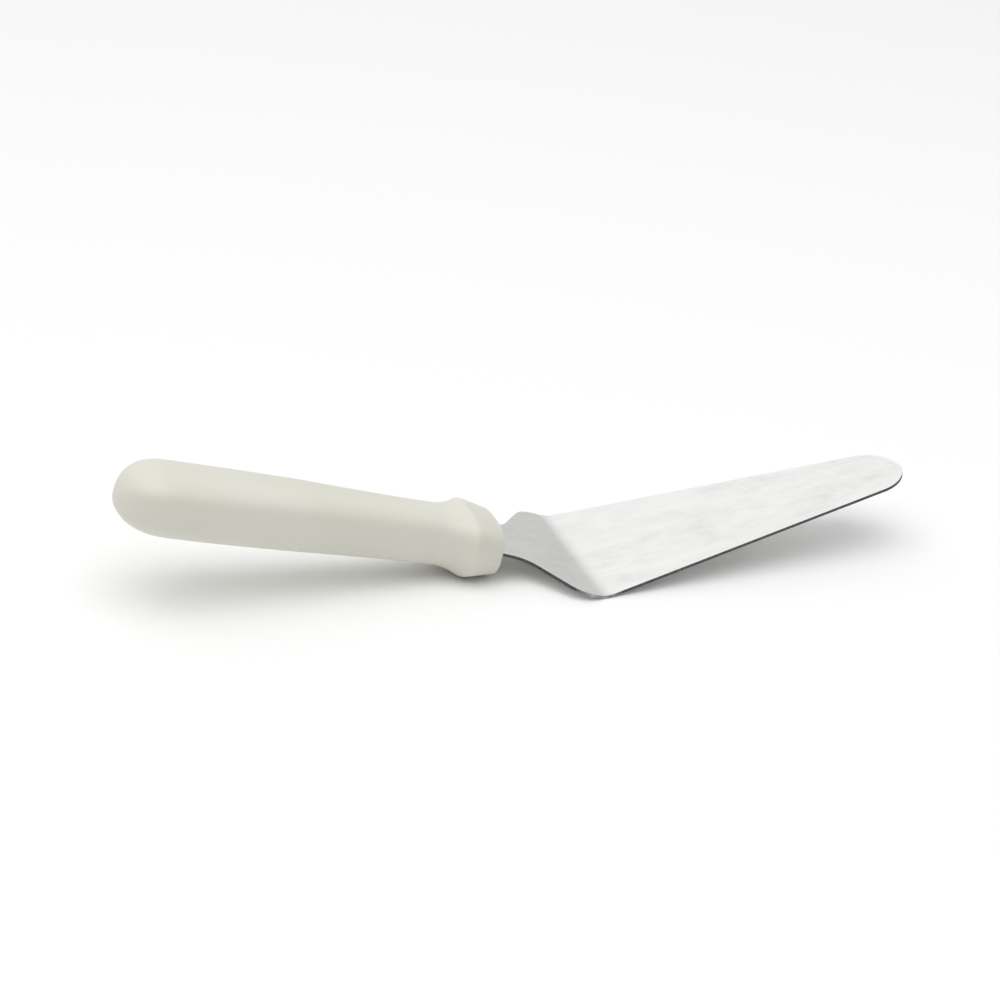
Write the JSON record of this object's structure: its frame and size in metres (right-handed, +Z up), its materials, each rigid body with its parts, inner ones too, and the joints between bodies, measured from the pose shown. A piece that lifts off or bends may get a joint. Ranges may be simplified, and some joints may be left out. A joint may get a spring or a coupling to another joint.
{
  "type": "cake server",
  "caption": "Offset cake server: a flat wedge-shaped steel blade, cranked at its heel, for lifting and serving slices, in a moulded plastic handle.",
  "frame": {"origin": "centre of the footprint, on the surface that the server rests on", "axes": "+X from the handle's butt towards the blade's tip, +Z up as it rests on heel and handle collar, +Y to the left seen from the butt"},
  "size_m": [0.261, 0.0586, 0.042],
  "materials": {
    "blade": "fine lengthwise brushing, satin",
    "handle": "smooth satin off-white"
  },
  "bodies": {
    "root": {"blade": "blade", "handle": "handle"}
  },
  "joints": []
}
